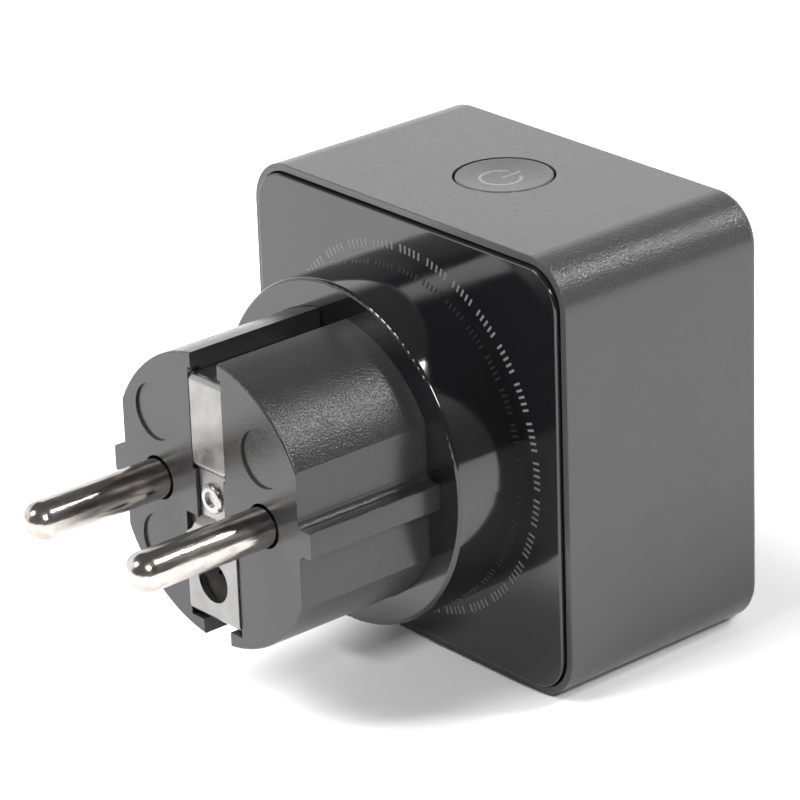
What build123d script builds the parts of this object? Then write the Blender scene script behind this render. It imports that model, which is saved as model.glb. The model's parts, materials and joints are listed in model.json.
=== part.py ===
from build123d import *
import os

# A compact smart plug: a square housing with a recessed earthed socket on one side
# and an earthed plug on the other, joined by a round neck.
# Frame: millimetres, +Z up (the button is on top), the plug's contact face lies in y = 0
# with the origin midway between its pins; the pins point to -Y and the socket opens to +Y.

# ---- Plug face and pins (standard plug pattern) ----
pin_r = 2.4
pin_length = 19.0
pin_spacing = 19.0
pin_x = pin_spacing / 2
pin_gap_r = 2.68            # hole in the plug face, leaving a dark ring round each pin
pin_shoulder = 0.05         # the pin narrows to its waist just inside the face
pin_waist_r = 2.2
pin_flange_r = 3.4
pin_flange_t = 1.2
pin_tail_r = 1.6
pin_tail_end = 9.6

plug_r = 17.75
flat_x = 15.65              # flats at the left and right of the plug body
rib_height = 3.2            # guide rib in the middle of each flat
rib_root_r = 1.0
notch_width = 4.9           # earth notch at the top and bottom
notch_floor = 14.4
face_t = 3.0
body_wall = 1.85
cavity_r = plug_r - body_wall
cavity_x = flat_x - body_wall

# ---- Neck, plate and housing, placed along the plug axis ----
neck_face_y = 19.1
neck_r = 21.15
neck_inner_r = 19.3
neck_wall_end = 21.1
plate_y = 29.6
plate_t = 2.2
rim_y = 30.2
socket_y = 60.7
box_size = 54.6
box_corner_r = 5.8
wall = 2.0
inner_size = box_size - 2 * wall
inner_corner_r = box_corner_r - wall
plate_size = 52.4
plate_corner_r = 4.7
neck_fillet = 0.45

# ---- Earth strip ----
strip_t = 0.8
leg_width = 4.4
leg_out_z = notch_floor + strip_t
upper_half = 2.875
middle_half = 2.39
lower_half = 4.5
step_z = 4.1
earth_hole_z = -10.0
earth_hole_r = 2.63
rivet_z = 0.2

# ---- Socket side (standard recess) ----
recess_r = 19.5
recess_depth = 17.5
floor_y = socket_y - recess_depth
floor_t = 1.8
floor_back_y = floor_y - floor_t
floor_r = 20.4
cup_r = 21.0
collar_r = 21.15
opening_r = 21.35
socket_hole_r = 2.75
guide_x = 16.05

# ---- Boards ----
main_board_y = neck_wall_end + 1.0
main_board_t = 1.6
main_board_end = main_board_y + main_board_t
control_y = 32.6
control_t = 1.2
control_end = control_y + control_t
control_size = 46.6

# ---- Button ----
button_y = 46.0
button_hole_r = 6.17
button_r = 5.89
button_dish_r = 62.0        # radius of the shallow hollow in the button's face
button_dish = 0.25
top_z = box_size / 2
ceiling_z = top_z - wall
board_z = 21.2
board_t = 0.8

os.makedirs("parts", exist_ok=True)


def depth(y):
    """Plane square to the plug axis at depth y: sketch x is +X, sketch y is +Z."""
    return Plane.XZ.offset(-y)


def reach(y_from, y_to, mode=Mode.ADD):
    """Extrude the outline drawn at y_from as far as y_to, towards the socket."""
    extrude(amount=y_from - y_to, mode=mode)


def disc(x, z, radius, y_from, y_to, mode=Mode.ADD):
    """Round bar or hole along the plug axis."""
    with Locations((x, (y_from + y_to) / 2, z)):
        Cylinder(radius, y_to - y_from, rotation=(90, 0, 0), mode=mode)


def block(x, z, width, height, y_from, y_to, mode=Mode.ADD):
    """Rectangular bar or pocket along the plug axis, centred on x and z."""
    with Locations((x, (y_from + y_to) / 2, z)):
        Box(width, y_to - y_from, height, mode=mode)


def plug_outline(gap=0.0):
    """Plug body section: a circle with side flats, guide ribs and earth notches, grown by gap."""
    Rectangle(2 * (flat_x + gap), 2 * plug_r + 2)
    Rectangle(2 * plug_r + 2, rib_height + 2 * gap)
    root = [v for v in vertices() if abs(abs(v.X) - flat_x - gap) < 0.01 and abs(v.Y) < rib_height]
    fillet(root, radius=rib_root_r - gap)
    Circle(plug_r + gap, mode=Mode.INTERSECT)
    crest = [v for v in vertices() if abs(v.X) > flat_x + 1.5]
    fillet(crest, radius=0.2)
    for side in (-1, 1):
        with Locations((0, side * (notch_floor - gap + 5))):
            Rectangle(notch_width - 2 * gap, 10, mode=Mode.SUBTRACT)


# ======== Plug side ========

# Plug body: hollow moulding with the contact face in front and a flange held behind the neck wall.
carrier_screw_x = 4.25
neck_screws = [(x, z) for x in (-16.9, 16.9) for z in (-4.7, 4.7)]
earth_tube_r = 4.2
earth_tube_bore = 3.0
earth_tube_end = 13.0
ejector_r = 3.5
ejector_depth = 0.3
with BuildPart() as plug_body:
    with BuildSketch(depth(0)):
        plug_outline()
    reach(0, neck_wall_end)
    front_rim = plug_body.faces().sort_by(Axis.Y)[0].outer_wire().edges()
    arcs = front_rim.filter_by(GeomType.CIRCLE).filter_by(lambda e: e.length > 5)
    fillet(arcs, radius=0.3)
    disc(0, 0, neck_inner_r - 0.1, neck_wall_end, main_board_y)
    with BuildSketch(depth(face_t)):
        Rectangle(2 * cavity_x, 2 * cavity_r)
        Circle(cavity_r, mode=Mode.INTERSECT)
        for side in (-1, 1):
            with Locations((0, side * (notch_floor - body_wall + 5))):
                Rectangle(notch_width + 2 * body_wall, 10, mode=Mode.SUBTRACT)
    reach(face_t, main_board_y, Mode.SUBTRACT)
    disc(0, earth_hole_z, earth_tube_r, face_t, earth_tube_end)
    disc(0, earth_hole_z, earth_tube_bore, 0.6, earth_tube_end, Mode.SUBTRACT)
    for side in (-1, 1):
        # the strip's legs pass through the flange
        block(0, side * 16.95, notch_width, 5.1, neck_wall_end, main_board_y, Mode.SUBTRACT)
        disc(side * pin_x, 0, pin_gap_r, 0, face_t, Mode.SUBTRACT)
        disc(side * carrier_screw_x, 0, 0.85, 1.7, face_t, Mode.SUBTRACT)
    # stepped channel that lets the earth strip into the face
    block(0, 9.3, 2 * upper_half + 0.2, 12.2, 0, 0.9, Mode.SUBTRACT)
    block(0, 0.6, 2 * middle_half + 0.25, 8.6, 0, 1.35, Mode.SUBTRACT)
    block(0, -9.0, 2 * lower_half + 0.2, 12.8, 0, 0.62, Mode.SUBTRACT)
    block(0, step_z - 0.2, 2 * upper_half + 0.2, 0.9, 0, 1.2, Mode.SUBTRACT)
    block(0, -3.2, 6.4, 1.2, 0, 1.35, Mode.SUBTRACT)
    block(0, 14.9, 2 * upper_half + 0.2, 1.6, 0, 1.35, Mode.SUBTRACT)
    block(0, -14.9, 2 * lower_half + 0.2, 1.6, 0, 1.35, Mode.SUBTRACT)
    block(0, -15.9, 3.2, 1.6, 0, 1.6, Mode.SUBTRACT)
    disc(0, rivet_z, 1.32, 0, face_t, Mode.SUBTRACT)
    for x, z in ((-9.6, 8.2), (9.6, 8.2), (-9.6, -8.2)):
        disc(x, z, ejector_r, 0, ejector_depth, Mode.SUBTRACT)
    for x, z in neck_screws:
        disc(x, z, 0.95, neck_wall_end - 0.2, main_board_y, Mode.SUBTRACT)
plug_body.part.label = "plug_body"
export_step(plug_body.part, "parts/plug_body.step")

# Plug pins: domed bars with a waist and flange in the face and a turned-down tail for the strap.
for side, name in ((-1, "left"), (1, "right")):
    with BuildPart() as pin:
        disc(side * pin_x, 0, pin_r, -pin_length, pin_shoulder)
        fillet(pin.edges().sort_by(Axis.Y)[0], radius=2.3)
        disc(side * pin_x, 0, pin_waist_r, pin_shoulder, face_t)
        disc(side * pin_x, 0, pin_flange_r, face_t, face_t + pin_flange_t)
        disc(side * pin_x, 0, pin_tail_r, face_t + pin_flange_t, pin_tail_end)
    pin.part.label = f"pin_{name}"
    export_step(pin.part, f"parts/pin_{name}.step")

# Pin carrier: insulating bar that clamps both pin flanges against the back of the plug face.
carrier_end = 6.4
with BuildPart() as pin_carrier:
    with BuildSketch(depth(face_t)):
        RectangleRounded(2 * cavity_x - 0.6, 8.8, 2.0)
    reach(face_t, carrier_end)
    disc(0, rivet_z, 2.2, face_t, carrier_end, Mode.SUBTRACT)
    for side in (-1, 1):
        disc(side * pin_x, 0, pin_flange_r + 0.05, face_t, face_t + pin_flange_t, Mode.SUBTRACT)
        disc(side * pin_x, 0, pin_tail_r + 0.05, face_t, carrier_end, Mode.SUBTRACT)
        disc(side * carrier_screw_x, 0, 1.1, face_t, carrier_end, Mode.SUBTRACT)
pin_carrier.part.label = "pin_carrier"
export_step(pin_carrier.part, "parts/pin_carrier.step")

with BuildPart() as carrier_screws:
    for side in (-1, 1):
        disc(side * carrier_screw_x, 0, 0.85, 1.9, carrier_end)
        disc(side * carrier_screw_x, 0, 1.75, carrier_end, carrier_end + 1.2)
        block(side * carrier_screw_x, 0, 2.4, 0.5, carrier_end + 0.6, carrier_end + 1.2, Mode.SUBTRACT)
        block(side * carrier_screw_x, 0, 0.5, 2.4, carrier_end + 0.6, carrier_end + 1.2, Mode.SUBTRACT)
carrier_screws.part.label = "carrier_screws"
export_step(carrier_screws.part, "parts/carrier_screws.step")

# Earth strip: one bent metal strip over the plug face, its legs running back along the notches.
leg_end = 30.0
leg_mid = leg_out_z - strip_t / 2
with BuildPart() as earth_strip:
    with BuildSketch(Plane.YZ):
        with BuildLine():
            FilletPolyline(
                (leg_end, leg_mid), (0.45, leg_mid), (0.45, step_z), (0.9, step_z - 0.7),
                (0.9, -2.5), (0.15, -3.7), (0.15, -leg_mid), (leg_end, -leg_mid),
                radius=[0.75, 0.5, 0.5, 0.5, 0.5, 0.75])
        trace(line_width=strip_t)
    extrude(amount=6, both=True)
    with BuildSketch(depth(-1)):
        with BuildLine():
            half = Polyline(
                (0, 16), (upper_half, 16), (upper_half, step_z), (middle_half, step_z - 0.5),
                (middle_half, -2.6), (lower_half - 1.1, -4.3), (lower_half, -5.1),
                (lower_half, -16), (0, -16))
            mirror(half, about=Plane.YZ)
        make_face()
        with Locations((-lower_half, -leg_out_z)):
            Rectangle(2.2, 0.9, rotation=-20, mode=Mode.SUBTRACT)
    reach(-1, leg_end, Mode.INTERSECT)
    for side in (-1, 1):
        # the legs are narrower than the part that lies on the face
        block(side * (leg_width / 2 + 4), 0, 8, 40, 1.32, leg_end, Mode.SUBTRACT)
    disc(0, earth_hole_z, earth_hole_r, -1, 1.32, Mode.SUBTRACT)
    disc(0, rivet_z, 1.3, 0, 1.5, Mode.SUBTRACT)
earth_strip.part.label = "earth_strip"
export_step(earth_strip.part, "parts/earth_strip.step")

# Rivet: semi-tubular, with a scalloped domed head on the strip.
rivet_head_r = 1.8
rivet_bore = 0.95
rivet_bore_end = 0.35
with BuildPart() as earth_rivet:
    disc(0, rivet_z, rivet_head_r, -0.05, 0.5)
    fillet(earth_rivet.edges().sort_by(Axis.Y)[0], radius=0.4)
    disc(0, rivet_z, 1.3, 0.5, face_t)
    disc(0, rivet_z, rivet_head_r, face_t, face_t + 0.6)
    disc(0, rivet_z, rivet_bore, -0.05, rivet_bore_end, Mode.SUBTRACT)
    with BuildSketch(depth(-0.05)):
        with Locations((0, rivet_z)):
            with PolarLocations(rivet_head_r + 0.12, 6, start_angle=30):
                Circle(0.38)
    reach(-0.05, 0.5, Mode.SUBTRACT)
earth_rivet.part.label = "earth_rivet"
export_step(earth_rivet.part, "parts/earth_rivet.step")

# Earth-pin contact: a split spring sleeve behind the strip's hole, with a tongue held back by the pin.
sleeve_out = 2.97
sleeve_in = earth_hole_r
with BuildPart() as earth_pin_contact:
    disc(0, earth_hole_z, sleeve_out, 1.0, 10.5)
    disc(0, earth_hole_z, sleeve_in, 1.0, 10.5, Mode.SUBTRACT)
    block(2.5, earth_hole_z - 0.6, 3, 2.6, 1.0, 10.5, Mode.SUBTRACT)
    block(-2.8, earth_hole_z, 1.6, 2.0, 2.6, 10.5, Mode.SUBTRACT)
    with BuildSketch(Plane.XY.offset(earth_hole_z)):
        with BuildLine():
            FilletPolyline((-2.8, 2.2), (-2.8, 6.8), (-2.6, 8.8), (-2.74, 10.0), radius=0.8)
        trace(line_width=0.26)
    extrude(amount=0.5, both=True)
earth_pin_contact.part.label = "earth_pin_contact"
export_step(earth_pin_contact.part, "parts/earth_pin_contact.step")

# Pin straps: angled sheet strips from each pin's tail to the main board.
strap_y = 7.7
strap_t = 0.6
for side, name in ((-1, "neutral"), (1, "line")):
    with BuildPart() as pin_strap:
        block(side * pin_x, -0.3, 4.4, 5.0, strap_y, strap_y + strap_t)
        block(side * pin_x, -2.5, 4.4, strap_t, strap_y, main_board_y - 0.4)
        block(side * pin_x, -2.5, 2.0, strap_t, main_board_y - 0.4, main_board_end + 0.6)
        disc(side * pin_x, 0, pin_tail_r, strap_y, strap_y + strap_t, Mode.SUBTRACT)
    pin_strap.part.label = f"{name}_strap"
    export_step(pin_strap.part, f"parts/{name}_strap.step")

# ======== Casing ========

# Back plate: glossy plate set into the housing rim, with the neck and its flat front wall.
skirt_size = inner_size - 0.4
skirt_wall = 1.2
skirt_end = 34.9
post_xz = 19.5
control_screws_xz = [(x, z) for x in (-post_xz, post_xz) for z in (-post_xz, post_xz)]
with BuildPart() as back_plate:
    with BuildSketch(depth(plate_y)):
        RectangleRounded(plate_size, plate_size, plate_corner_r)
    reach(plate_y, plate_y + plate_t)
    fillet(back_plate.faces().sort_by(Axis.Y)[0].outer_wire().edges(), radius=0.25)
    disc(0, 0, neck_r, neck_face_y, plate_y)
    fillet(back_plate.edges().sort_by(Axis.Y)[0], radius=neck_fillet)
    disc(0, 0, neck_inner_r, neck_wall_end, plate_y + plate_t, Mode.SUBTRACT)
    with BuildSketch(depth(neck_face_y)):
        plug_outline(gap=0.08)
        # room for the strip's legs in the notches
        Rectangle(notch_width - 0.14, 2 * leg_out_z + 0.2)
    reach(neck_face_y, neck_wall_end, Mode.SUBTRACT)
    with BuildSketch(depth(plate_y + plate_t)):
        RectangleRounded(skirt_size, skirt_size, inner_corner_r - 0.2)
        RectangleRounded(skirt_size - 2 * skirt_wall, skirt_size - 2 * skirt_wall, 2.4, mode=Mode.SUBTRACT)
    reach(plate_y + plate_t, skirt_end)
    for x, z in neck_screws:
        disc(x, z, 0.75, neck_wall_end - 1.4, neck_wall_end, Mode.SUBTRACT)
    for x, z in control_screws_xz:
        disc(x, z, 2.3, plate_y + plate_t, control_y)
        disc(x, z, 0.85, plate_y + 0.8, control_y, Mode.SUBTRACT)
    # snap hooks on the four sides of the skirt
    for side in (-1, 1):
        block(side * (skirt_size / 2 + 0.3), 0, 0.6, 8, skirt_end - 1.4, skirt_end)
        block(0, side * (skirt_size / 2 + 0.3), 8, 0.6, skirt_end - 1.4, skirt_end)
back_plate.part.label = "back_plate"
export_step(back_plate.part, "parts/back_plate.step")

# Outer housing: square sleeve, open at the plug side, with the socket opening in its front wall.
boss_xz = 20.6
boss_start = 50.0
rebate_size = 52.8
rebate_end = plate_y + plate_t
front_wall_y = socket_y - 2.2
socket_screws_xz = [(x, z) for x in (-boss_xz, boss_xz) for z in (-boss_xz, boss_xz)]
with BuildPart() as outer_housing:
    with BuildSketch(depth(rim_y)):
        RectangleRounded(box_size, box_size, box_corner_r)
    reach(rim_y, socket_y)
    ends = outer_housing.faces().sort_by(Axis.Y)
    fillet(ends[0].outer_wire().edges(), radius=0.12)
    fillet(ends[-1].outer_wire().edges(), radius=1.0)
    with BuildSketch(depth(rim_y)):
        RectangleRounded(rebate_size, rebate_size, box_corner_r - 0.9)
    reach(rim_y, rebate_end, Mode.SUBTRACT)
    with BuildSketch(depth(rebate_end)):
        RectangleRounded(inner_size, inner_size, inner_corner_r)
    reach(rebate_end, front_wall_y, Mode.SUBTRACT)
    disc(0, 0, opening_r, front_wall_y, socket_y, Mode.SUBTRACT)
    chamfer(outer_housing.edges().filter_by(GeomType.CIRCLE).group_by(SortBy.RADIUS)[-1].sort_by(Axis.Y)[-1],
            length=0.3)
    for x, z in socket_screws_xz:
        disc(x, z, 2.7, boss_start, front_wall_y + 0.1)
        disc(x, z, 0.95, boss_start, front_wall_y + 0.6, Mode.SUBTRACT)
    # snap pockets for the back plate's hooks
    for side in (-1, 1):
        block(side * (inner_size / 2 + 0.3), 0, 0.8, 9, skirt_end - 1.8, skirt_end + 0.3, Mode.SUBTRACT)
        block(0, side * (inner_size / 2 + 0.3), 9, 0.8, skirt_end - 1.8, skirt_end + 0.3, Mode.SUBTRACT)
    with BuildSketch(Plane.XY.offset(ceiling_z)):
        with Locations((0, button_y)):
            Circle(button_hole_r)
    extrude(amount=wall, mode=Mode.SUBTRACT)
outer_housing.part.label = "outer_housing"
export_step(outer_housing.part, "parts/outer_housing.step")

# Socket cup: round wall with guide ribs, clip windows, screw ears and board rails.
window_half = 3.3
carrier_fixings_xz = [(6, 12), (-6, -12)]
ear_start = boss_start - 2.5
with BuildPart() as socket_cup:
    disc(0, 0, cup_r, floor_back_y, 57.5)
    disc(0, 0, collar_r, 57.5, socket_y)
    disc(0, 0, recess_r, floor_back_y, socket_y, Mode.SUBTRACT)
    mouth = socket_cup.faces().sort_by(Axis.Y)[-1].inner_wires()[0].edges()
    chamfer(mouth, length=0.7)
    for side in (-1, 1):
        for level in (-1, 1):
            # a pair of guide ribs on each side, with a groove between them for the plug's rib
            with BuildSketch(depth(floor_y)):
                with Locations((side * (guide_x + 2.5), level * 4.6)):
                    Rectangle(5, 4.6)
                Circle(cup_r - 0.5, mode=Mode.INTERSECT)
            reach(floor_y, socket_y - 2.0)
            # rails that carry the button board
        block(side * 6.2, 20.0, 1.6, 2 * (board_z - 20.0), 38.5, 53.5)
    disc(0, 0, recess_r, socket_y - 2.0, socket_y, Mode.SUBTRACT)
    with BuildSketch(depth(ear_start)):
        for angle in (45, 135, 225, 315):
            with Locations(Location((0, 0), angle)):
                with Locations((24.7, 0)):
                    Rectangle(9.0, 5.4)
                with Locations((boss_xz * 2 ** 0.5, 0)):
                    Circle(2.7)
        Circle(cup_r - 0.5, mode=Mode.SUBTRACT)
        for x, z in socket_screws_xz:
            with Locations((x, z)):
                Circle(1.25, mode=Mode.SUBTRACT)
    reach(ear_start, boss_start)
    disc(0, 0, floor_r, floor_back_y, floor_y, Mode.SUBTRACT)
    for side in (-1, 1):
        block(0, side * 19.4, 2 * window_half, 6.0, floor_back_y, 57.2, Mode.SUBTRACT)
socket_cup.part.label = "socket_cup"
export_step(socket_cup.part, "parts/socket_cup.step")

# Socket floor: disc set into the back of the cup, with the two pin holes and slots for the clips.
with BuildPart() as socket_floor:
    disc(0, 0, floor_r - 0.05, floor_back_y, floor_y)
    for side in (-1, 1):
        block(0, side * 19.4, 2 * window_half, 6.0, floor_back_y, floor_y, Mode.SUBTRACT)
        disc(side * pin_x, 0, socket_hole_r, floor_back_y, floor_y, Mode.SUBTRACT)
    for x, z in carrier_fixings_xz:
        disc(x, z, 0.85, floor_back_y, floor_y - 0.5, Mode.SUBTRACT)
socket_floor.part.label = "socket_floor"
export_step(socket_floor.part, "parts/socket_floor.step")

with BuildPart() as socket_screws:
    for x, z in socket_screws_xz:
        disc(x, z, 0.95, ear_start, boss_start + 6.5)
        disc(x, z, 2.1, ear_start - 1.5, ear_start)
        block(x, z, 2.6, 0.6, ear_start - 1.5, ear_start - 0.7, Mode.SUBTRACT)
        block(x, z, 0.6, 2.6, ear_start - 1.5, ear_start - 0.7, Mode.SUBTRACT)
socket_screws.part.label = "socket_screws"
export_step(socket_screws.part, "parts/socket_screws.step")

# ======== Socket mechanism ========

# Contact carrier: plate with the shutter's pivot and two chambers round the contacts.
carrier_plate_y = 37.6
carrier_face_y = 39.0
chamber_start = 24.9
shutter_post_r = 1.5
with BuildPart() as contact_carrier:
    disc(0, 0, 16.4, carrier_plate_y, floor_back_y)
    disc(0, 0, 15.0, carrier_face_y, floor_back_y, Mode.SUBTRACT)
    disc(0, 0, shutter_post_r, carrier_face_y, floor_back_y - 0.3)
    for x, z in carrier_fixings_xz:
        disc(x, z, 1.9, carrier_face_y, floor_back_y)
    for side in (-1, 1):
        block(side * 9.8, 0, 9.2, 8.6, chamber_start, carrier_plate_y)
        block(side * 9.9, 0, 7.8, 7.0, chamber_start, carrier_plate_y, Mode.SUBTRACT)
        disc(side * pin_x, 0, socket_hole_r, carrier_plate_y, carrier_face_y, Mode.SUBTRACT)
    for x, z in carrier_fixings_xz:
        disc(x, z, 1.05, carrier_plate_y, floor_back_y, Mode.SUBTRACT)
contact_carrier.part.label = "contact_carrier"
export_step(contact_carrier.part, "parts/contact_carrier.step")

with BuildPart() as carrier_fixings:
    for x, z in carrier_fixings_xz:
        disc(x, z, 0.85, carrier_plate_y, floor_y - 0.6)
        disc(x, z, 1.7, carrier_plate_y - 1.1, carrier_plate_y)
        block(x, z, 2.2, 0.5, carrier_plate_y - 1.1, carrier_plate_y - 0.5, Mode.SUBTRACT)
carrier_fixings.part.label = "carrier_fixings"
export_step(carrier_fixings.part, "parts/carrier_fixings.step")

# Shutter: two-armed disc that turns on the carrier's post; its arms cover the pin holes at rest.
shutter_from = carrier_face_y + 0.25
shutter_to = floor_back_y - 0.25
with BuildPart() as shutter:
    with BuildSketch(depth(shutter_from)):
        Circle(12.7)
        Rectangle(30, 6.4, mode=Mode.INTERSECT)
        Circle(4.4)
    reach(shutter_from, shutter_to)
    for side in (-1, 1):
        # ramp that a pin slides down, turning the shutter
        with BuildSketch(Plane.YZ.offset(side * 5.6)):
            Polygon((shutter_to, -side * 0.6), (shutter_to, side * 3.4),
                    (shutter_to - 1.4, side * 3.4), align=None)
        extrude(amount=side * 8, mode=Mode.SUBTRACT)
    disc(0, 0, shutter_post_r + 0.05, shutter_from, shutter_to, Mode.SUBTRACT)
    disc(0, 0, 3.4, shutter_from, shutter_from + 1.1, Mode.SUBTRACT)
shutter.part.label = "shutter"
export_step(shutter.part, "parts/shutter.step")

# Shutter spring: a small coil round the post, inside the shutter's hub.
with BuildPart() as shutter_spring:
    with BuildLine():
        coil = Helix(pitch=0.4, height=0.8, radius=2.4, center=(0, carrier_face_y + 0.4, 0),
                     direction=(0, 1, 0))
    with BuildSketch(Plane(origin=coil @ 0, z_dir=coil % 0)):
        Circle(0.17)
    sweep()
shutter_spring.part.label = "shutter_spring"
export_step(shutter_spring.part, "parts/shutter_spring.step")

# Socket contacts: a side plate with two leaves, one above and one below the pin's path.
leaf_t = 0.6
leaf_gap = 2.47
for side, name in ((-1, "neutral"), (1, "line")):
    with BuildPart() as contact:
        block(side * 13.2, 0, leaf_t, 2 * (leaf_gap + leaf_t), 25.2, 36.8)
        block(side * 13.2, 0, leaf_t, 3.6, main_board_y - 0.8, 25.2)
        for level in (-1, 1):
            block(side * 9.9, level * (leaf_gap + leaf_t / 2), 6.6, leaf_t, 27.0, 36.8)
        leaves = contact.edges().filter_by(Axis.X).filter_by(lambda e: e.center().Y > 36)
        chamfer(leaves.filter_by(lambda e: abs(e.center().Z) < leaf_gap + 0.1), length=0.3)
    contact.part.label = f"{name}_contact"
    export_step(contact.part, f"parts/{name}_contact.step")

# Earth links and clips, top and bottom: each link joins a leg of the strip to a sprung clip.
clip_t = 0.6
clip_width = 4.6
clip_root_y = 41.8
clip_root_z = 17.4
clip_bead_r = 0.4            # the clip's root is rolled round the line it flexes about
clip_bead_y = clip_root_y - 0.3
link_end = clip_bead_y - clip_bead_r - 0.1
for side, name in ((1, "top"), (-1, "bottom")):
    with BuildPart() as earth_link:
        with BuildSketch(Plane.YZ):
            with BuildLine():
                FilletPolyline(
                    (24.6, side * (leg_out_z + clip_t / 2)), (31.2, side * (leg_out_z + clip_t / 2)),
                    (35.2, side * clip_root_z), (link_end, side * clip_root_z), radius=1.0)
            trace(line_width=clip_t)
        extrude(amount=clip_width / 2, both=True)
    earth_link.part.label = f"earth_link_{name}"
    export_step(earth_link.part, f"parts/earth_link_{name}.step")

    with BuildPart() as earth_clip:
        with BuildSketch(Plane.YZ):
            with BuildLine():
                FilletPolyline(
                    (clip_bead_y, side * clip_root_z), (44.2, side * clip_root_z),
                    (50.6, side * 14.9), (56.2, side * 18.4), radius=[1.2, 2.2])
            trace(line_width=clip_t)
        extrude(amount=clip_width / 2, both=True)
        with Locations((0, clip_bead_y, side * clip_root_z)):
            Cylinder(clip_bead_r, clip_width, rotation=(0, 90, 0))
    earth_clip.part.label = f"earth_clip_{name}"
    export_step(earth_clip.part, f"parts/earth_clip_{name}.step")

# ======== Boards and components ========

# Main board: round, behind the plug body, carrying the relay and the mains parts.
header_z = -9.6
with BuildPart() as main_board:
    disc(0, 0, 19.0, main_board_y, main_board_end)
    for side in (-1, 1):
        block(0, side * 16.7, 5.2, 5.0, main_board_y, main_board_end, Mode.SUBTRACT)
        block(side * pin_x, -2.5, 2.2, 0.8, main_board_y, main_board_end, Mode.SUBTRACT)
        block(side * 13.2, 0, 0.8, 3.8, main_board_y, main_board_end, Mode.SUBTRACT)
    for x, z in neck_screws:
        disc(x, z, 0.95, main_board_y, main_board_end, Mode.SUBTRACT)
    with BuildSketch(depth(main_board_y)):
        with Locations((0, header_z)):
            with GridLocations(2.54, 2.54, 5, 1):
                Rectangle(0.8, 0.8)
    reach(main_board_y, main_board_end, Mode.SUBTRACT)
main_board.part.label = "main_board"
export_step(main_board.part, "parts/main_board.step")

with BuildPart() as neck_fixings:
    for x, z in neck_screws:
        disc(x, z, 0.75, neck_wall_end - 1.2, main_board_end)
        disc(x, z, 1.35, main_board_end, main_board_end + 1.0)
        block(x, z, 1.8, 0.4, main_board_end + 0.5, main_board_end + 1.0, Mode.SUBTRACT)
neck_fixings.part.label = "neck_fixings"
export_step(neck_fixings.part, "parts/neck_fixings.step")

# Control board: square, behind the back plate, with a window for the contact chambers.
with BuildPart() as control_board:
    with BuildSketch(depth(control_y)):
        RectangleRounded(control_size, control_size, 2.2)
        Rectangle(30.4, 9.6, mode=Mode.SUBTRACT)
        for side in (-1, 1):
            with Locations((0, side * 16.6)):
                Rectangle(5.6, 4.8, mode=Mode.SUBTRACT)
        for x, z in control_screws_xz:
            with Locations((x, z)):
                Circle(1.1, mode=Mode.SUBTRACT)
        with Locations((0, header_z)):
            with GridLocations(2.54, 2.54, 5, 1):
                Rectangle(0.8, 0.8, mode=Mode.SUBTRACT)
    reach(control_y, control_end)
control_board.part.label = "control_board"
export_step(control_board.part, "parts/control_board.step")

with BuildPart() as control_screws:
    for x, z in control_screws_xz:
        disc(x, z, 0.85, plate_y + 0.9, control_end)
        disc(x, z, 1.7, control_end, control_end + 1.2)
        block(x, z, 2.2, 0.5, control_end + 0.6, control_end + 1.2, Mode.SUBTRACT)
control_screws.part.label = "control_screws"
export_step(control_screws.part, "parts/control_screws.step")

# Header between the boards: moulded bar and five square pins.
with BuildPart() as header_body:
    block(0, header_z, 12.7, 2.5, main_board_end, main_board_end + 2.5)
    with BuildSketch(depth(main_board_end)):
        with Locations((0, header_z)):
            with GridLocations(2.54, 2.54, 5, 1):
                Rectangle(0.64, 0.64)
    reach(main_board_end, main_board_end + 2.5, Mode.SUBTRACT)
header_body.part.label = "header_body"
export_step(header_body.part, "parts/header_body.step")

with BuildPart() as header_pins:
    with BuildSketch(depth(main_board_y - 0.6)):
        with Locations((0, header_z)):
            with GridLocations(2.54, 2.54, 5, 1):
                Rectangle(0.64, 0.64)
    reach(main_board_y - 0.6, control_end + 0.8)
header_pins.part.label = "header_pins"
export_step(header_pins.part, "parts/header_pins.step")

# Relay: case over a base, coil on a bobbin and core, angled yoke, hinged armature, fixed contact.
relay_z = 7.15
relay_top_y = 8.6
relay_half_x = 10.0
relay_half_z = 4.6
case_wall = 0.6
with BuildPart() as relay_case:
    block(0, relay_z, 2 * relay_half_x, 2 * relay_half_z, relay_top_y, main_board_y)
    fillet(relay_case.edges().filter_by(Axis.Y), radius=0.5)
    block(0, relay_z, 2 * (relay_half_x - case_wall), 2 * (relay_half_z - case_wall),
          relay_top_y + case_wall, main_board_y, Mode.SUBTRACT)
relay_case.part.label = "relay_case"
export_step(relay_case.part, "parts/relay_case.step")

base_y = main_board_y - 1.0
with BuildPart() as relay_base:
    block(0, relay_z, 2 * (relay_half_x - case_wall) - 0.1, 2 * (relay_half_z - case_wall) - 0.1,
          base_y, main_board_y)
    block(6.4, relay_z, 1.0, 2.4, base_y, main_board_y, Mode.SUBTRACT)
relay_base.part.label = "relay_base"
export_step(relay_base.part, "parts/relay_base.step")

coil_x = -3.8
core_head_y = 11.7
bobbin_y = 12.2
bobbin_end = 20.0
with BuildPart() as relay_core:
    disc(coil_x, relay_z, 2.6, core_head_y, bobbin_y)
    disc(coil_x, relay_z, 1.4, bobbin_y, bobbin_end)
relay_core.part.label = "relay_core"
export_step(relay_core.part, "parts/relay_core.step")

with BuildPart() as relay_bobbin:
    disc(coil_x, relay_z, 3.7, bobbin_y, bobbin_y + 0.5)
    disc(coil_x, relay_z, 1.9, bobbin_y + 0.5, bobbin_end - 0.5)
    disc(coil_x, relay_z, 3.7, bobbin_end - 0.5, bobbin_end)
    disc(coil_x, relay_z, 1.4, bobbin_y, bobbin_end, Mode.SUBTRACT)
relay_bobbin.part.label = "relay_bobbin"
export_step(relay_bobbin.part, "parts/relay_bobbin.step")

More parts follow.
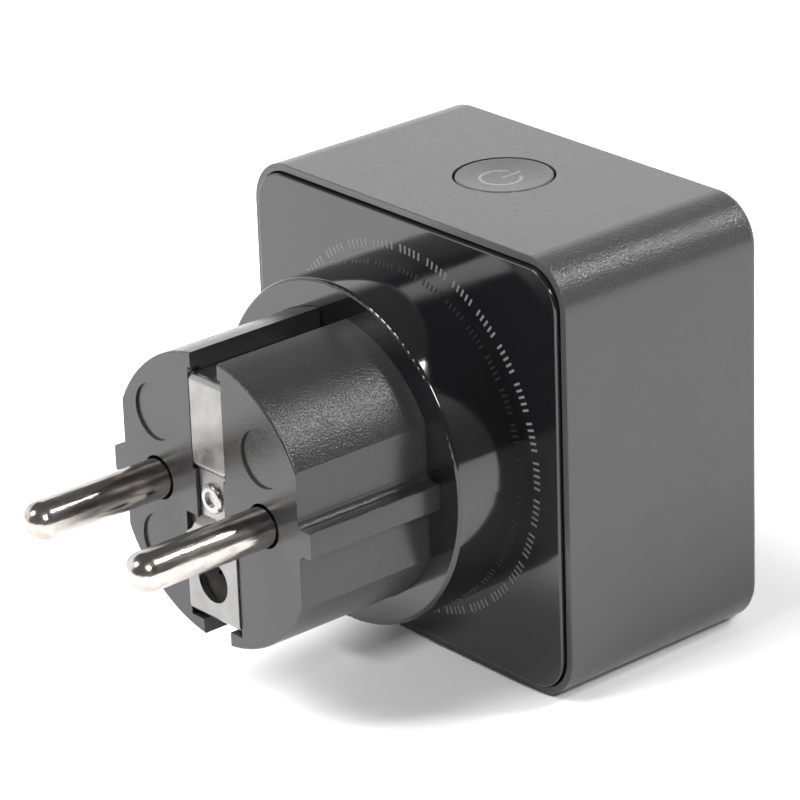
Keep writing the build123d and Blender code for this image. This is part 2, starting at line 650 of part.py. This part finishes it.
with BuildPart() as relay_coil:
    disc(coil_x, relay_z, 3.45, bobbin_y + 0.5, bobbin_end - 0.5)
    disc(coil_x, relay_z, 1.9, bobbin_y + 0.5, bobbin_end - 0.5, Mode.SUBTRACT)
relay_coil.part.label = "relay_coil"
export_step(relay_coil.part, "parts/relay_coil.step")

yoke_x = -8.6
with BuildPart() as relay_yoke:
    block(yoke_x, relay_z, 1.0, 6.0, core_head_y, base_y)
    block((yoke_x - 0.5) / 2 - 0.75, relay_z, -yoke_x + 0.5 - 1.5, 6.0, bobbin_end, base_y)
relay_yoke.part.label = "relay_yoke"
export_step(relay_yoke.part, "parts/relay_yoke.step")

# Armature: iron plate that rocks on a round heel on the yoke, with a spring blade and moving contact.
armature_t = 0.8
armature_y = core_head_y - 0.5 - armature_t
contact_x = 6.4
with BuildPart() as relay_armature:
    block(-3.9, relay_z, 9.4, 5.6, armature_y, armature_y + armature_t)
    with Locations((-8.2, armature_y + armature_t, relay_z)):
        Cylinder(0.4, 5.6)
    block(3.6, relay_z, 7.4, 3.2, armature_y + 0.2, armature_y + 0.5)
    disc(contact_x, relay_z, 1.1, armature_y + 0.5, armature_y + 1.1)
relay_armature.part.label = "relay_armature"
export_step(relay_armature.part, "parts/relay_armature.step")

fixed_contact_y = armature_y + 1.1 + 0.85
with BuildPart() as relay_fixed_contact:
    disc(contact_x, relay_z, 1.1, fixed_contact_y, fixed_contact_y + 0.6)
    block(contact_x, relay_z, 1.0, 2.4, fixed_contact_y + 0.6, main_board_y)
relay_fixed_contact.part.label = "relay_fixed_contact"
export_step(relay_fixed_contact.part, "parts/relay_fixed_contact.step")

# Mains parts under the relay.
with BuildPart() as filter_capacitor:
    block(0, -9.2, 12.0, 6.4, 13.4, 21.2)
    fillet(filter_capacitor.edges().filter_by(Axis.Y), radius=0.5)
    for side in (-1, 1):
        disc(side * 4.0, -7.4, 0.35, 21.2, main_board_y)
filter_capacitor.part.label = "filter_capacitor"
export_step(filter_capacitor.part, "parts/filter_capacitor.step")

with BuildPart() as varistor:
    with BuildSketch(Plane.YZ.offset(8.2)):
        with Locations((18.0, -8.0)):
            Circle(3.2)
    extrude(amount=2.6)
    fillet(varistor.edges().filter_by(GeomType.CIRCLE), radius=0.7)
    for level in (-1, 1):
        block(9.5, -8.0 + level * 1.6, 0.6, 0.6, 20.0, main_board_y)
varistor.part.label = "varistor"
export_step(varistor.part, "parts/varistor.step")

with BuildPart() as fuse_resistor:
    disc(-9.6, -8.2, 1.9, 12.0, 21.0)
    fillet(fuse_resistor.edges().filter_by(GeomType.CIRCLE), radius=0.6)
    disc(-9.6, -8.2, 0.35, 21.0, main_board_y)
fuse_resistor.part.label = "fuse_resistor"
export_step(fuse_resistor.part, "parts/fuse_resistor.step")

with BuildPart() as current_shunt:
    with BuildSketch(Plane.XY.offset(12.4)):
        with BuildLine():
            FilletPolyline((-5, main_board_end), (-5, 26.6), (5, 26.6), (5, main_board_end), radius=0.9)
        trace(line_width=0.8)
    extrude(amount=1.8)
current_shunt.part.label = "current_shunt"
export_step(current_shunt.part, "parts/current_shunt.step")

# Low-voltage supply on the control board.
trafo_x = -18.5
trafo_z = 14.3
with BuildPart() as transformer_core:
    block(trafo_x, trafo_z, 9.0, 2.4, control_end, control_end + 6.8)
    block(trafo_x, trafo_z, 7.0, 3.4, control_end + 1.2, control_end + 5.6, Mode.SUBTRACT)
    block(trafo_x, trafo_z, 2.2, 2.4, control_end + 1.2, control_end + 5.6)
transformer_core.part.label = "transformer_core"
export_step(transformer_core.part, "parts/transformer_core.step")

with BuildPart() as transformer_coil:
    with BuildSketch(depth(control_end + 1.4)):
        with Locations((trafo_x, trafo_z)):
            RectangleRounded(6.6, 6.4, 1.2)
            Rectangle(2.3, 2.5, mode=Mode.SUBTRACT)
    reach(control_end + 1.4, control_end + 5.4)
transformer_coil.part.label = "transformer_coil"
export_step(transformer_coil.part, "parts/transformer_coil.step")

with BuildPart() as smoothing_capacitors:
    for x, z, end in ((18.6, 10.4, 40.4), (18.6, -10.4, 40.4)):
        disc(x, z, 3.15, control_end + 0.3, end)
    fillet(smoothing_capacitors.edges().filter_by(GeomType.CIRCLE), radius=0.4)
    for x, z in ((18.6, 10.4), (18.6, -10.4)):
        disc(x, z, 2.4, control_end, control_end + 0.3)
smoothing_capacitors.part.label = "smoothing_capacitors"
export_step(smoothing_capacitors.part, "parts/smoothing_capacitors.step")

# Radio module: small board with a metal shield, standing clear of the mains parts.
with BuildPart() as radio_board:
    block(-16.4, -11.2, 11.0, 12.4, control_end, control_end + 0.8)
radio_board.part.label = "radio_board"
export_step(radio_board.part, "parts/radio_board.step")

with BuildPart() as radio_shield:
    block(-16.4, -10.6, 10.0, 9.4, control_end + 0.8, control_end + 2.8)
    fillet(radio_shield.edges().filter_by(Axis.Y), radius=0.5)
    block(-16.4, -10.6, 9.6, 9.0, control_end + 0.8, control_end + 2.6, Mode.SUBTRACT)
radio_shield.part.label = "radio_shield"
export_step(radio_shield.part, "parts/radio_shield.step")

# ======== Button ========

# Button board on the insert's rails, with the switch and the status light.
with BuildPart() as button_board:
    with BuildSketch(Plane.XY.offset(board_z)):
        with Locations((0, 46)):
            RectangleRounded(14.8, 15.6, 1.0)
    extrude(amount=board_t)
button_board.part.label = "button_board"
export_step(button_board.part, "parts/button_board.step")

switch_z = board_z + board_t
plunger_top = 23.75
with BuildPart() as tact_switch_body:
    with BuildSketch(Plane.XY.offset(switch_z)):
        with Locations((0, button_y)):
            RectangleRounded(6.0, 6.0, 0.6)
    extrude(amount=1.4)
    with BuildSketch(Plane.XY.offset(switch_z + 0.5)):
        with Locations((0, button_y)):
            Circle(1.45)
    extrude(amount=0.9, mode=Mode.SUBTRACT)
tact_switch_body.part.label = "tact_switch_body"
export_step(tact_switch_body.part, "parts/tact_switch_body.step")

with BuildPart() as tact_switch_plunger:
    with BuildSketch(Plane.XY.offset(switch_z + 0.9)):
        with Locations((0, button_y)):
            Circle(1.4)
    extrude(amount=plunger_top - switch_z - 0.9)
tact_switch_plunger.part.label = "tact_switch_plunger"
export_step(tact_switch_plunger.part, "parts/tact_switch_plunger.step")

with BuildPart() as status_light:
    with BuildSketch(Plane.XY.offset(switch_z)):
        with Locations((4.4, button_y)):
            Rectangle(1.2, 2.0)
    extrude(amount=0.7)
status_light.part.label = "status_light"
export_step(status_light.part, "parts/status_light.step")


def dish():
    """Hollows the button's face, in the cap and the light guide alike."""
    with Locations((0, button_y, top_z - button_dish + button_dish_r)):
        Sphere(button_dish_r, mode=Mode.SUBTRACT)


def power_symbol():
    """Standby mark: an open ring with its gap towards the socket and a bar in the gap."""
    with Locations((0, button_y - 0.6)):
        Circle(2.65)
        Circle(2.25, mode=Mode.SUBTRACT)
        with Locations((0, 2.2)):
            Rectangle(2.2, 1.8, mode=Mode.SUBTRACT)
            with Locations((0, -0.45)):
                Rectangle(0.42, 2.8)


# Light guide: a clear disc under the cap, raised to the surface as the power symbol.
cap_under_z = top_z - 1.5
guide_z = 24.75
with BuildPart() as button_light_guide:
    with BuildSketch(Plane.XY.offset(guide_z)):
        with Locations((0, button_y)):
            Circle(4.9)
    extrude(amount=cap_under_z - guide_z)
    with BuildSketch(Plane.XY.offset(cap_under_z)):
        power_symbol()
    extrude(amount=top_z - cap_under_z)
    with BuildSketch(Plane.XY.offset(plunger_top + 0.05)):
        with Locations((0, button_y)):
            Circle(1.3)
    extrude(amount=guide_z - plunger_top - 0.05)
    dish()
button_light_guide.part.label = "button_light_guide"
export_step(button_light_guide.part, "parts/button_light_guide.step")

# Button cap: flush round cap with a retaining flange under the housing's top wall.
with BuildPart() as button_cap:
    with BuildSketch(Plane.XY.offset(guide_z)):
        with Locations((0, button_y)):
            Circle(button_r)
    extrude(amount=top_z - guide_z)
    fillet(button_cap.edges().filter_by(GeomType.CIRCLE).sort_by(Axis.Z)[-1], radius=0.25)
    with BuildSketch(Plane.XY.offset(guide_z)):
        with Locations((0, button_y)):
            Circle(6.9)
    extrude(amount=0.4)
    with BuildSketch(Plane.XY.offset(guide_z)):
        with Locations((0, button_y)):
            Circle(4.9)
    extrude(amount=cap_under_z - guide_z, mode=Mode.SUBTRACT)
    with BuildSketch(Plane.XY.offset(cap_under_z)):
        power_symbol()
    extrude(amount=top_z - cap_under_z, mode=Mode.SUBTRACT)
    dish()
button_cap.part.label = "button_cap"
export_step(button_cap.part, "parts/button_cap.step")

# Flexible cable from the button board down to the control board.
with BuildPart() as button_cable:
    with BuildSketch(Plane.YZ):
        with BuildLine():
            FilletPolyline((40.0, 22.1), (36.6, 22.1), (36.6, 20.2), (34.0, 20.2), radius=0.7)
        trace(line_width=0.2)
    extrude(amount=2.0, both=True)
button_cable.part.label = "button_cable"
export_step(button_cable.part, "parts/button_cable.step")
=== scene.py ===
import json
import math

import bmesh
import bpy
from mathutils import Matrix, Vector


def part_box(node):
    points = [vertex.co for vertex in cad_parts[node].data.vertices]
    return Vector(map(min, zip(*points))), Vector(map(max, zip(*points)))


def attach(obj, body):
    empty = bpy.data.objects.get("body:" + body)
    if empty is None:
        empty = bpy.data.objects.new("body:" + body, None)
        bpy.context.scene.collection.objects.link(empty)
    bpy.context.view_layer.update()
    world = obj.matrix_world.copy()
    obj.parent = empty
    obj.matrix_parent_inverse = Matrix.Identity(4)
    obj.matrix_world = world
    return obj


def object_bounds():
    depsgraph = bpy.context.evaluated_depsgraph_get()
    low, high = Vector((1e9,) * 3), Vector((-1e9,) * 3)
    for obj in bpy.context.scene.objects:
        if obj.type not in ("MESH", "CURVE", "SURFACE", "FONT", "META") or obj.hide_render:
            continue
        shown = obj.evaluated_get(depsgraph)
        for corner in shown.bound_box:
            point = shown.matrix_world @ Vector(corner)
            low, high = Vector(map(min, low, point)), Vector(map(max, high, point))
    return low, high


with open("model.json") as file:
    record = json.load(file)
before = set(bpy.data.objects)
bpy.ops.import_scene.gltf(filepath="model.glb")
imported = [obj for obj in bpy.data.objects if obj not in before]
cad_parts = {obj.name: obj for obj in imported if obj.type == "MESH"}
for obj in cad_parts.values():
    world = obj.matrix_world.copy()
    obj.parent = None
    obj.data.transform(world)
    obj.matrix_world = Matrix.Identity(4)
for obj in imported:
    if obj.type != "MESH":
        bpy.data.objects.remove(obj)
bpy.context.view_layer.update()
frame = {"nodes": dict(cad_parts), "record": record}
nodes = frame["nodes"]
MM = 0.001
PLATE_BEFORE_RIM = 0.6 * MM       # how far the glossy plate's face stands before the housing's rim
TICK_THICKNESS = 0.02 * MM
TICK_PROUD = 0.015 * MM           # the rest of each tick is sunk in the plate


# ---------------------------------------------------------------- shader helpers
def set_range(map_range, from_min, from_max, to_min, to_max):
    """Fills the four limits of a Map Range node."""
    limits = {"From Min": from_min, "From Max": from_max, "To Min": to_min, "To Max": to_max}
    for key, number in limits.items():
        map_range.inputs[key].default_value = number


class Shader:
    """A Principled material whose patterns read object coordinates: the row frame's metres."""

    def __init__(self, name, colour, rough, metallic=0.0, specular=0.5):
        self.material = bpy.data.materials.new(name)
        self.material.use_nodes = True
        self.tree = self.material.node_tree
        self.bsdf = self.tree.nodes["Principled BSDF"]
        self.bsdf.inputs["Base Color"].default_value = (*colour, 1)
        self.bsdf.inputs["Roughness"].default_value = rough
        self.bsdf.inputs["Metallic"].default_value = metallic
        self.bsdf.inputs["Specular IOR Level"].default_value = specular
        self.colour = colour
        self.coords = self.tree.nodes.new("ShaderNodeTexCoord").outputs["Object"]

    def node(self, kind, **settings):
        made = self.tree.nodes.new(kind)
        for key, value in settings.items():
            setattr(made, key, value)
        return made

    def link(self, a, b):
        self.tree.links.new(a, b)

    def noise(self, size_mm, detail=2.0, stretch=(1, 1, 1), roughness=0.5):
        """Noise whose features are about size_mm across; stretch lengthens them along an axis."""
        scale = self.node("ShaderNodeVectorMath", operation="MULTIPLY")
        scale.inputs[1].default_value = [1 / (size_mm * MM * s) for s in stretch]
        self.link(self.coords, scale.inputs[0])
        made = self.node("ShaderNodeTexNoise")
        made.inputs["Scale"].default_value = 1.0
        made.inputs["Detail"].default_value = detail
        made.inputs["Roughness"].default_value = roughness
        self.link(scale.outputs[0], made.inputs["Vector"])
        return made.outputs["Fac"]

    def spread(self, value, low, high):
        """Maps the middle of a 0..1 pattern onto low..high."""
        made = self.node("ShaderNodeMapRange")
        set_range(made, 0.3, 0.7, low, high)
        self.link(value, made.inputs["Value"])
        return made.outputs["Result"]

    def vary_colour(self, pattern, low, high):
        """Base colour runs between two multiples of itself."""
        mix = self.node("ShaderNodeMix", data_type="RGBA")
        mix.inputs["A"].default_value = (*[c * low for c in self.colour], 1)
        mix.inputs["B"].default_value = (*[min(1, c * high) for c in self.colour], 1)
        self.link(self.spread(pattern, 0, 1), mix.inputs["Factor"])
        self.link(mix.outputs["Result"], self.bsdf.inputs["Base Color"])
        return self

    def tint(self, pattern, colour, amount):
        """Lays patches of another colour over the base colour where the pattern is high."""
        mix = self.node("ShaderNodeMix", data_type="RGBA")
        patches = self.node("ShaderNodeMapRange")
        set_range(patches, 0.47, 0.64, 0, amount)
        self.link(pattern, patches.inputs["Value"])
        self.link(patches.outputs["Result"], mix.inputs["Factor"])
        under = self.bsdf.inputs["Base Color"]
        self.link(under.links[0].from_socket, mix.inputs["A"])
        mix.inputs["B"].default_value = (*colour, 1)
        self.link(mix.outputs["Result"], under)
        return self

    def vary_rough(self, pattern, low, high):
        self.link(self.spread(pattern, low, high), self.bsdf.inputs["Roughness"])
        return self

    def fade_on_flats(self, pattern):
        """Scales a pattern down on flat faces, whose object-space normal lies along one axis."""
        size = self.node("ShaderNodeVectorMath", operation="ABSOLUTE")
        self.link(self.coords.node.outputs["Normal"], size.inputs[0])
        parts = self.node("ShaderNodeSeparateXYZ")
        self.link(size.outputs[0], parts.inputs[0])
        largest = parts.outputs["X"]
        for axis in "YZ":
            larger = self.node("ShaderNodeMath", operation="MAXIMUM")
            self.link(largest, larger.inputs[0])
            self.link(parts.outputs[axis], larger.inputs[1])
            largest = larger.outputs[0]
        keep = self.node("ShaderNodeMapRange")
        set_range(keep, 0.93, 0.995, 1, 0.25)
        self.link(largest, keep.inputs["Value"])
        scaled = self.node("ShaderNodeMath", operation="MULTIPLY")
        self.link(pattern, scaled.inputs[0])
        self.link(keep.outputs["Result"], scaled.inputs[1])
        return scaled.outputs[0]

    def bump(self, pattern, height_mm):
        made = self.node("ShaderNodeBump")
        made.inputs["Distance"].default_value = height_mm * MM
        self.link(pattern, made.inputs["Height"])
        self.link(made.outputs["Normal"], self.bsdf.inputs["Normal"])
        return self


def eroded(name, colour, rough, grain_mm, height_mm, soft_flats=False):
    """Moulded plastic from a spark-eroded tool: a fine even grain and a faint change of tone.

    With soft_flats the grain is strongest on the rounded faces, where the tool isn't polished flat.
    """
    s = Shader(name, colour, rough)
    grain = s.noise(grain_mm, 2.0)
    s.bump(s.fade_on_flats(grain) if soft_flats else grain, height_mm)
    s.vary_colour(s.noise(9.0, 2.0), 0.96, 1.04)
    return s.vary_rough(s.noise(grain_mm * 2.2, 1.0), rough - 0.04, rough + 0.04)


def polished(name, colour, rough, specular=0.5):
    """Gloss moulding: almost flat, with a slow ripple and faint handling haze."""
    s = Shader(name, colour, rough, specular=specular)
    s.bump(s.noise(11.0, 1.0), 0.012)
    return s.vary_rough(s.noise(6.0, 4.0), rough * 0.7, rough * 1.6)


def plated(name, colour, rough, stretch=(1, 1, 1), grain_mm=0.3, height_mm=0.002, patches=0.0):
    """Plated or bare metal: fine drawing lines along the long stretch, and optional patches."""
    s = Shader(name, colour, rough, metallic=1.0)
    s.bump(s.noise(grain_mm, 3.0, stretch), height_mm)
    s.vary_colour(s.noise(3.0, 3.0), 0.9, 1.06)
    if patches:
        s.tint(s.noise(1.1, 4.0, (1, 2.5, 1), 0.65), (0.3, 0.19, 0.15), patches)
    return s.vary_rough(s.noise(grain_mm * 2, 3.0, stretch), rough * 0.7, rough * 1.5)


MATERIALS = {
    "housing": eroded("housing", (0.037, 0.037, 0.0375), 0.23, 0.25, 0.08, soft_flats=True),
    "plug_plastic": eroded("plug_plastic", (0.019, 0.019, 0.0195), 0.22, 0.22, 0.065,
                           soft_flats=True),
    "gloss_black": polished("gloss_black", (0.005, 0.005, 0.0055), 0.075, specular=0.72),
    "nickel": plated("nickel", (0.53, 0.5, 0.465), 0.16, (1, 8, 1), 0.36, 0.028, 0.45),
    "button": eroded("button", (0.043, 0.043, 0.044), 0.32, 0.18, 0.02),
    "light_guide": polished("light_guide", (0.13, 0.13, 0.13), 0.35),
    "inner_black": eroded("inner_black", (0.02, 0.02, 0.021), 0.4, 0.3, 0.01),
    "socket_plastic": eroded("socket_plastic", (0.042, 0.042, 0.043), 0.32, 0.2, 0.02),
    "shutter_plastic": eroded("shutter_plastic", (0.03, 0.03, 0.031), 0.3, 0.3, 0.008),
    "contact_brass": plated("contact_brass", (0.78, 0.56, 0.26), 0.22),
    "spring_steel": plated("spring_steel", (0.55, 0.55, 0.56), 0.25),
    "screw_steel": plated("screw_steel", (0.52, 0.52, 0.5), 0.3),
    "board": eroded("board", (0.012, 0.11, 0.045), 0.25, 0.6, 0.004),
    "relay_case": eroded("relay_case", (0.02, 0.03, 0.06), 0.25, 0.4, 0.004),
    "copper_wire": plated("copper_wire", (0.72, 0.3, 0.12), 0.3),
    "soft_iron": plated("soft_iron", (0.4, 0.4, 0.41), 0.35),
    "capacitor_film": eroded("capacitor_film", (0.55, 0.32, 0.04), 0.35, 0.5, 0.004),
    "capacitor_can": polished("capacitor_can", (0.02, 0.025, 0.035), 0.25),
    "varistor_blue": polished("varistor_blue", (0.02, 0.06, 0.3), 0.3),
    "resistor": eroded("resistor", (0.2, 0.32, 0.25), 0.6, 0.4, 0.01),
    "ferrite": eroded("ferrite", (0.035, 0.034, 0.034), 0.55, 0.4, 0.01),
    "shield": plated("shield", (0.62, 0.62, 0.6), 0.3),
    "cable": polished("cable", (0.4, 0.2, 0.05), 0.35),
    "light_lens": polished("light_lens", (0.7, 0.68, 0.5), 0.15),
}
for part in frame["record"]["subparts"]:
    mesh = nodes[part["node"]].data
    mesh.materials.clear()
    mesh.materials.append(MATERIALS[part["material_slot"]].material)
# The earth parts are rougher than the polished pins; the strip's darker nickel is partly painted
# shade, and the clips in the recess get a brighter nickel as painted light.
earth_finishes_and_painted_light = {
    # painted shade: the strip's nickel is darker than the pins' so that it reflects less light
    "strip_nickel_painted_shade": (plated("strip_nickel_painted_shade", (0.27, 0.268, 0.264), 0.3, (6, 1, 6), 0.2, 0.004),
                     ["earth_strip"]),
    # painted light: a brighter nickel on the clips and pin contact stands in for light in the
    # recess's shade
    "clip_nickel_painted_light": (plated("clip_nickel_painted_light", (0.72, 0.71, 0.69), 0.38, (8, 1, 1), 0.2, 0.004),
                    ["earth_clip_top", "earth_clip_bottom", "earth_pin_contact"]),
    "rivet_nickel": (plated("rivet_nickel", (0.42, 0.415, 0.405), 0.28, (1, 1, 1), 0.2, 0.006),
                     ["earth_rivet"]),
}
for finish, names in earth_finishes_and_painted_light.values():
    for name in names:
        nodes[name].data.materials.clear()
        nodes[name].data.materials.append(finish.material)


# ---------------------------------------------------------------- generic tick ring round the neck
def tick_ring(name, centre, inner, outer, y, count, skip, width_deg):
    """Thin radial bars on the plate round the neck, with one place in every skip left empty."""
    work = bmesh.new()
    for i in range(count):
        if i % skip == skip - 1:
            continue
        angle = 2 * math.pi * i / count
        half = math.radians(width_deg) / 2
        corners = [(inner, angle - half), (outer, angle - half),
                   (outer, angle + half), (inner, angle + half)]
        top = [work.verts.new((centre.x + r * math.sin(a), y, centre.z + r * math.cos(a)))
               for r, a in corners]
        low = [work.verts.new((v.co.x, y + TICK_THICKNESS, v.co.z)) for v in top]
        work.faces.new(top)
        work.faces.new(reversed(low))
        for k in range(4):
            work.faces.new((top[k - 1], low[k - 1], low[k], top[k]))
    bmesh.ops.recalc_face_normals(work, faces=work.faces)
    data = bpy.data.meshes.new(name)
    work.to_mesh(data)
    work.free()
    made = bpy.data.objects.new(name, data)
    bpy.context.scene.collection.objects.link(made)
    return made


plate_low, plate_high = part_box("back_plate")
plate_face_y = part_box("outer_housing")[0].y - PLATE_BEFORE_RIM
ring = tick_ring("tick_ring", (plate_low + plate_high) / 2, 22.1 * MM, 23.1 * MM,
                 plate_face_y - TICK_PROUD, count=180, skip=6, width_deg=0.7)
ring.data.materials.append(eroded("tick_print", (0.12, 0.12, 0.12), 0.5, 0.3, 0.004).material)
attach(ring, "base")


# ---------------------------------------------------------------- floor, light and camera
floor_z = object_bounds()[0][2]
target = Vector((7.87, 25.0, 10.85)) * MM       # the point the camera and the lights face

floor_mesh = bpy.data.meshes.new("floor")
floor_radius, floor_corners = 0.5, 96
turns = [2 * math.pi * i / floor_corners for i in range(floor_corners)]
floor_rim = [(floor_radius * math.cos(turn), target.y + floor_radius * math.sin(turn), floor_z)
             for turn in turns]
floor_mesh.from_pydata(floor_rim, [], [tuple(range(floor_corners))])
floor = bpy.data.objects.new("floor", floor_mesh)
bpy.context.scene.collection.objects.link(floor)
floor_paint = Shader("floor", (0.88, 0.88, 0.88), 0.7, specular=0.2)
floor_paint.vary_colour(floor_paint.noise(400.0), 0.99, 1.01)
floor_mesh.materials.append(floor_paint.material)


def soft_box(name, direction, distance, width, power):
    """Square area light, in metres and watts, that stands in a direction from the object."""
    data = bpy.data.lights.new(name, "AREA")
    data.shape = "RECTANGLE"
    data.size = data.size_y = width
    data.energy = power
    lamp = bpy.data.objects.new(name, data)
    lamp.location = target + Vector(direction) * distance
    lamp.rotation_euler = (target - lamp.location).to_track_quat("-Z", "Y").to_euler()
    bpy.context.scene.collection.objects.link(lamp)
    return lamp


soft_box("front_left", (-0.34, -0.66, 0.67), 1.2, 0.3, 4)
soft_box("right", (0.75, -0.2, 0.65), 1.2, 0.25, 9)
soft_box("rim", (0.42, 0.6, 0.68), 1.2, 0.16, 4.5)
fill = soft_box("fill", (-0.3, -0.5, 0.8), 1.3, 0.9, 36)
fill.visible_glossy = False       # keeps the glossy plate and neck dark

world = bpy.data.worlds.new("studio")
bpy.context.scene.world = world
world.use_nodes = True
tree = world.node_tree


def fade(value, start, stop, first, last):
    """Smooth step of a direction's component from one level to another."""
    made = tree.nodes.new("ShaderNodeMapRange")
    made.interpolation_type = "SMOOTHSTEP"
    set_range(made, start, stop, first, last)
    tree.links.new(value, made.inputs["Value"])
    return made.outputs["Result"]


direction = tree.nodes.new("ShaderNodeTexCoord").outputs["Generated"]
towards_backdrop = tree.nodes.new("ShaderNodeVectorMath")
towards_backdrop.operation = "DOT_PRODUCT"
towards_backdrop.inputs[1].default_value = Vector((-0.8, 0.6, 0))
tree.links.new(direction, towards_backdrop.inputs[0])
height = tree.nodes.new("ShaderNodeSeparateXYZ")
tree.links.new(direction, height.inputs[0])
backdrop = tree.nodes.new("ShaderNodeMath")
backdrop.operation = "MULTIPLY_ADD"
backdrop.inputs[2].default_value = 0.14       # the dark side and ceiling
tree.links.new(fade(towards_backdrop.outputs["Value"], -0.35, 0.15, 0, 1.3), backdrop.inputs[0])
tree.links.new(fade(height.outputs["Z"], 0.48, 0.62, 1, 0), backdrop.inputs[1])
# past the floor's edge the studio is plain white to look at, whichever way it lights the object
seen = tree.nodes.new("ShaderNodeMix")
light_path = tree.nodes.new("ShaderNodeLightPath")
tree.links.new(light_path.outputs["Is Camera Ray"], seen.inputs["Factor"])
tree.links.new(backdrop.outputs["Value"], seen.inputs["A"])
seen.inputs["B"].default_value = 1.2
tree.links.new(seen.outputs["Result"], tree.nodes["Background"].inputs["Strength"])
tree.nodes["Background"].inputs["Color"].default_value = (1, 1, 1, 1)

azimuth, elevation, roll = math.radians(49.47), math.radians(22.69), math.radians(-1.94)
camera_distance = 0.482
forward = Vector((-math.sin(azimuth) * math.cos(elevation),
                  math.cos(azimuth) * math.cos(elevation), -math.sin(elevation)))
camera_data = bpy.data.cameras.new("camera")
camera_data.sensor_width = 36
camera_data.lens = 188.95
camera_data.shift_x, camera_data.shift_y = -0.0232, -0.0359
camera_data.clip_start, camera_data.clip_end = 0.01, 20
camera = bpy.data.objects.new("camera", camera_data)
camera.matrix_world = (Matrix.Translation(target - forward * camera_distance)
                       @ forward.to_track_quat("-Z", "Y").to_matrix().to_4x4()
                       @ Matrix.Rotation(roll, 4, "Z"))
bpy.context.scene.collection.objects.link(camera)
bpy.context.scene.camera = camera
bpy.context.scene.view_settings.view_transform = "Standard"
